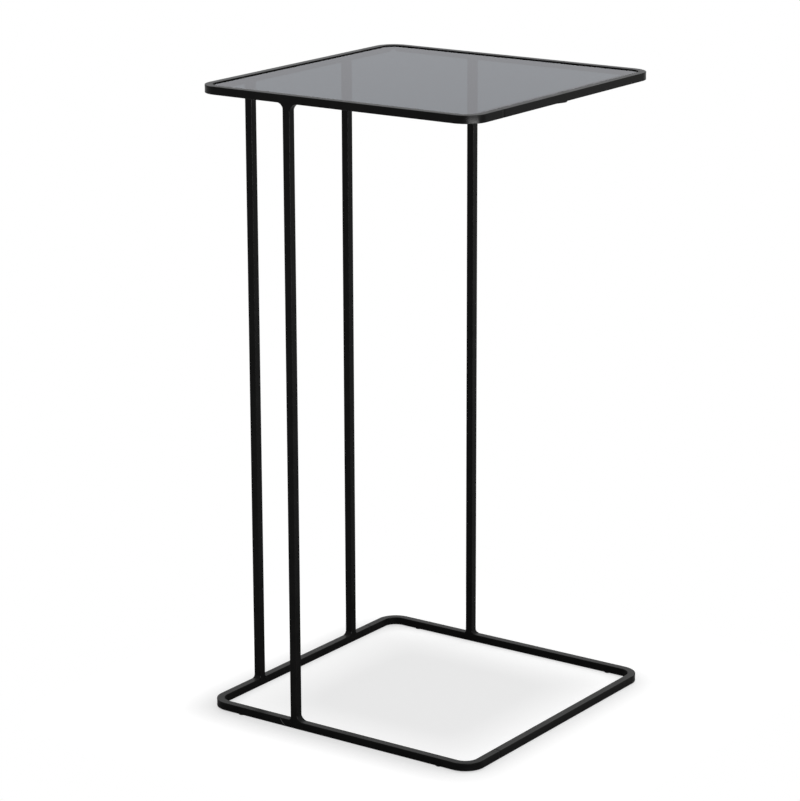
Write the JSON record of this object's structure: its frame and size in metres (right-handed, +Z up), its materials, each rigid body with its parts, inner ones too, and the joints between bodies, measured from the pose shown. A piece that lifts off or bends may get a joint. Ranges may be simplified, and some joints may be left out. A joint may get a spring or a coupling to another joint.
{
  "type": "c-shaped side table",
  "caption": "C-shaped side table of bent black square bar, with uprights along one side only and a smoked glass pane that lifts out of the upper ring.",
  "frame": {"origin": "on the floor, under the middle of the table's footprint", "axes": "+Z up, +X from the spine towards the open side, +Y from front to back"},
  "size_m": [0.3202, 0.3204, 0.636],
  "materials": {
    "black_powder_coat": "satin black powder coat on mild steel",
    "smoked_glass": "polished smoked float glass, ground edges",
    "clear_bumper": "clear soft polyurethane",
    "floor_pad": "matt black rubber"
  },
  "bodies": {
    "frame": {"base_ring_back_half": "black_powder_coat", "base_ring_front_half": "black_powder_coat", "top_ring_back_half": "black_powder_coat", "top_ring_front_half": "black_powder_coat", "base_ring_open_seam": "black_powder_coat", "base_ring_spine_seam": "black_powder_coat", "top_ring_open_seam": "black_powder_coat", "top_ring_spine_seam": "black_powder_coat", "spine_upright_front": "black_powder_coat", "spine_upright_back": "black_powder_coat", "side_upright_front": "black_powder_coat", "side_upright_back": "black_powder_coat", "spine_upright_front_base_weld": "black_powder_coat", "spine_upright_front_top_weld": "black_powder_coat", "spine_upright_back_base_weld": "black_powder_coat", "spine_upright_back_top_weld": "black_powder_coat", "side_upright_front_base_weld": "black_powder_coat", "side_upright_front_top_weld": "black_powder_coat", "side_upright_back_base_weld": "black_powder_coat", "side_upright_back_top_weld": "black_powder_coat", "front_ledge": "black_powder_coat", "open_ledge": "black_powder_coat", "back_ledge": "black_powder_coat", "spine_ledge": "black_powder_coat", "ledge_stitch_welds": "black_powder_coat", "pane_bumpers": "clear_bumper", "floor_pads": "floor_pad"},
    "pane": {"glass_pane": "smoked_glass"}
  },
  "joints": [
    {"name": "pane_lift", "type": "slide", "parent": "frame", "child": "pane", "axis": [0, 0, 1], "range_m": [0, 0.05]}
  ]
}
